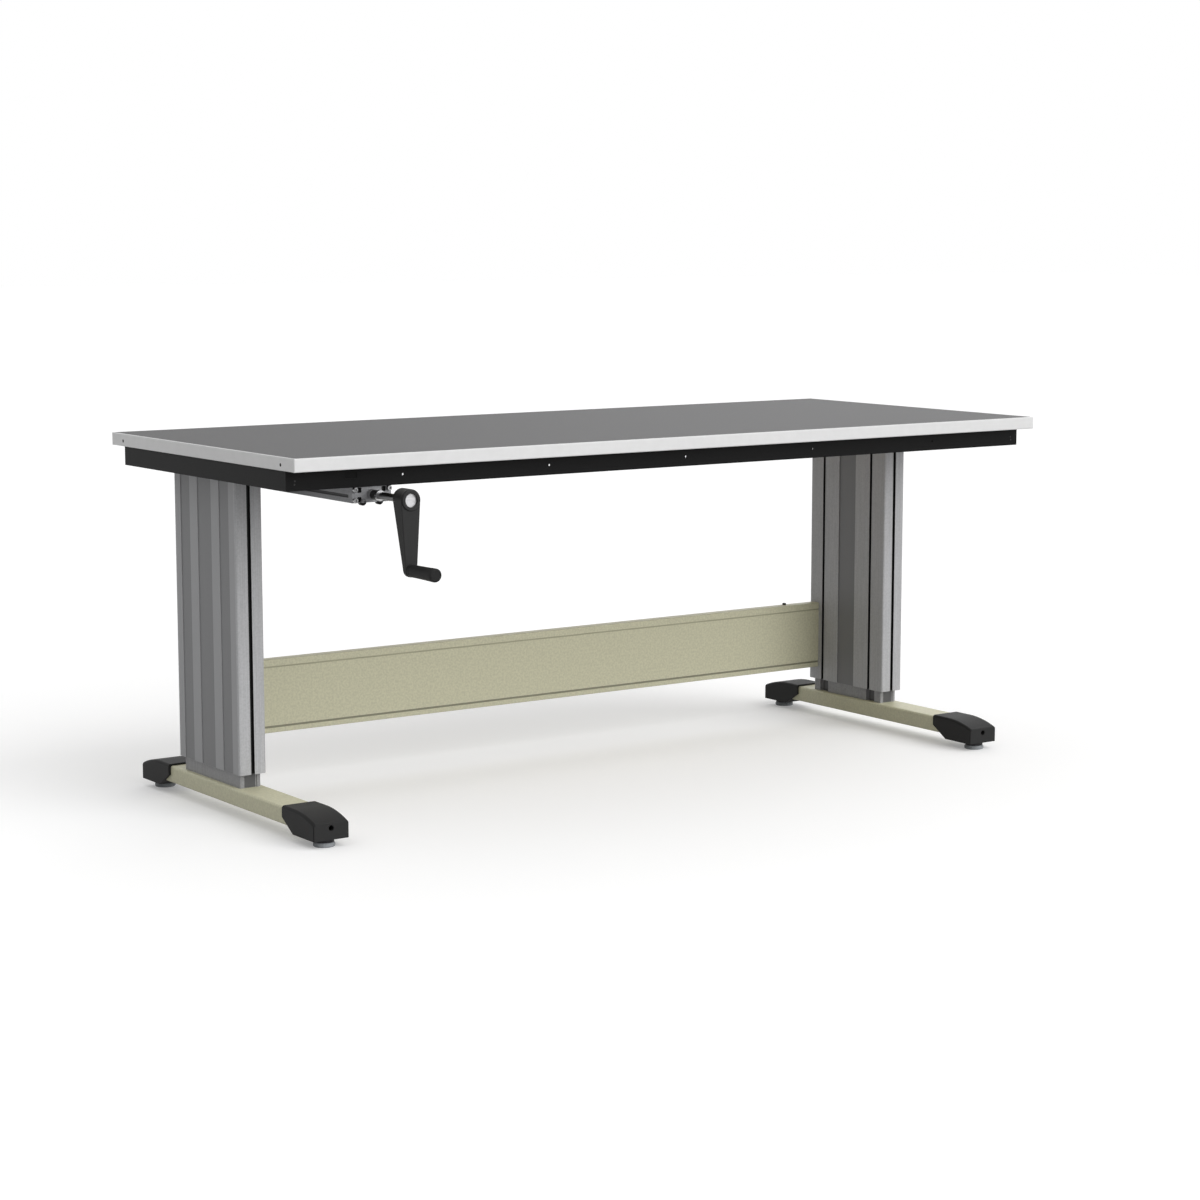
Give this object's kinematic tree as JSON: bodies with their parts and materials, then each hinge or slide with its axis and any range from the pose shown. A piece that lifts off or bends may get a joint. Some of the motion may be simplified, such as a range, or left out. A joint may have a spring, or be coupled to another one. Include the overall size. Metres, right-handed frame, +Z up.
{
  "type": "height adjustable standing desk",
  "caption": "Rectangular desk on two telescopic aluminium columns with T-feet, a rear stretcher and a hand crank that pumps the top up and down.",
  "frame": {"origin": "on the floor, under the middle of the worktop, with the columns closed", "axes": "+X along the worktop to the right as seen by the person at it, +Y to the rear, +Z up"},
  "size_m": [1.8288, 0.9437, 0.7366],
  "materials": {
    "particleboard": "raw particleboard",
    "laminate": "fine satin laminate",
    "edge_band": "satin edge banding",
    "black_steel": "black powder coat",
    "column_aluminium": "satin anodised extrusion",
    "inner_aluminium": "satin anodised extrusion",
    "cream_steel": "beige powder coat, fine texture",
    "cap_plastic": "moulded, fine grain",
    "pad_plastic": "moulded",
    "black_oxide_steel": "black oxide",
    "zinc_steel": "zinc plated",
    "glide_plastic": "low-friction plastic",
    "cylinder_steel": "drawn steel tube",
    "rod_chrome": "polished",
    "pump_aluminium": "satin extrusion",
    "bush_plastic": "moulded",
    "crank_plastic": "moulded, fine grain",
    "grip_plastic": "moulded, fine grain",
    "hub_aluminium": "satin"
  },
  "bodies": {
    "base": {"foot_tube_left": "cream_steel", "foot_tube_right": "cream_steel", "foot_cap_front_left": "cap_plastic", "foot_cap_front_right": "cap_plastic", "foot_cap_rear_left": "cap_plastic", "foot_cap_rear_right": "cap_plastic", "inner_column_left": "inner_aluminium", "inner_column_right": "inner_aluminium", "column_bolts": "zinc_steel", "leveler_nuts": "zinc_steel", "cylinder_rod_left": "rod_chrome", "cylinder_rod_right": "rod_chrome", "upper_glides": "glide_plastic"},
    "leveler_front_left": {"leveler_pad_front_left": "pad_plastic", "leveler_stud_front_left": "black_oxide_steel"},
    "leveler_front_right": {"leveler_pad_front_right": "pad_plastic", "leveler_stud_front_right": "black_oxide_steel"},
    "leveler_rear_left": {"leveler_pad_rear_left": "pad_plastic", "leveler_stud_rear_left": "black_oxide_steel"},
    "leveler_rear_right": {"leveler_pad_rear_right": "pad_plastic", "leveler_stud_rear_right": "black_oxide_steel"},
    "crank": {"crank_shaft": "rod_chrome", "shaft_collar": "rod_chrome", "crank_arm": "crank_plastic", "crank_hub_cap": "hub_aluminium", "grip_pin": "zinc_steel"},
    "grip": {"crank_grip": "grip_plastic"},
    "pump_carriage": {"pump_crosshead": "cylinder_steel", "pump_pistons": "cylinder_steel"},
    "lift": {"apron_front": "black_steel", "apron_left": "black_steel", "apron_rear": "black_steel", "apron_right": "black_steel", "column_arm_left": "black_steel", "column_arm_right": "black_steel", "column_head_bolts": "zinc_steel", "column_head_left": "inner_aluminium", "column_head_right": "inner_aluminium", "cylinder_barrel_left": "cylinder_steel", "cylinder_barrel_right": "cylinder_steel", "edge_band_front": "edge_band", "edge_band_left": "edge_band", "edge_band_rear": "edge_band", "edge_band_right": "edge_band", "lower_glides": "glide_plastic", "outer_column_left": "column_aluminium", "outer_column_right": "column_aluminium", "pump_body": "pump_aluminium", "pump_bolts": "zinc_steel", "pump_bush": "bush_plastic", "pump_front_plate": "pump_aluminium", "pump_hanger": "black_steel", "pump_lug_screws": "black_oxide_steel", "pump_plate_screws": "rod_chrome", "pump_rear_block": "pump_aluminium", "stretcher": "cream_steel", "stretcher_bolts": "zinc_steel", "stretcher_plug": "cap_plastic", "worktop_core": "particleboard", "worktop_laminate": "laminate"}
  },
  "joints": [
    {"name": "column_lift", "type": "slide", "parent": "base", "child": "lift", "axis": [0, 0, 1], "range_m": [0, 0.3048]},
    {"name": "crank_turn", "type": "hinge", "parent": "lift", "child": "crank", "pos_m": [-0.7255, -0.331, 0.6581], "axis": [0, 1, 0], "range_deg": [-1, 14401]},
    {"name": "pump_stroke", "type": "slide", "parent": "lift", "child": "pump_carriage", "axis": [0, 1, 0], "range_m": [-0.0002, 0.1602]},
    {"name": "grip_turn", "type": "hinge", "parent": "crank", "child": "grip", "pos_m": [-0.7255, -0.5143, 0.5296], "axis": [0, 1, 0], "continuous": true},
    {"name": "leveler_front_left_screw", "type": "slide", "parent": "base", "child": "leveler_front_left", "axis": [0, 0, -1], "range_m": [0, 0.015]},
    {"name": "leveler_front_right_screw", "type": "slide", "parent": "base", "child": "leveler_front_right", "axis": [0, 0, -1], "range_m": [0, 0.015]},
    {"name": "leveler_rear_left_screw", "type": "slide", "parent": "base", "child": "leveler_rear_left", "axis": [0, 0, -1], "range_m": [0, 0.015]},
    {"name": "leveler_rear_right_screw", "type": "slide", "parent": "base", "child": "leveler_rear_right", "axis": [0, 0, -1], "range_m": [0, 0.015]}
  ],
  "couplings": [
    {"joint": "crank_turn", "follows": "column_lift", "rad_per_m": 824.57},
    {"joint": "pump_stroke", "follows": "column_lift", "ratio": 0.52493}
  ]
}
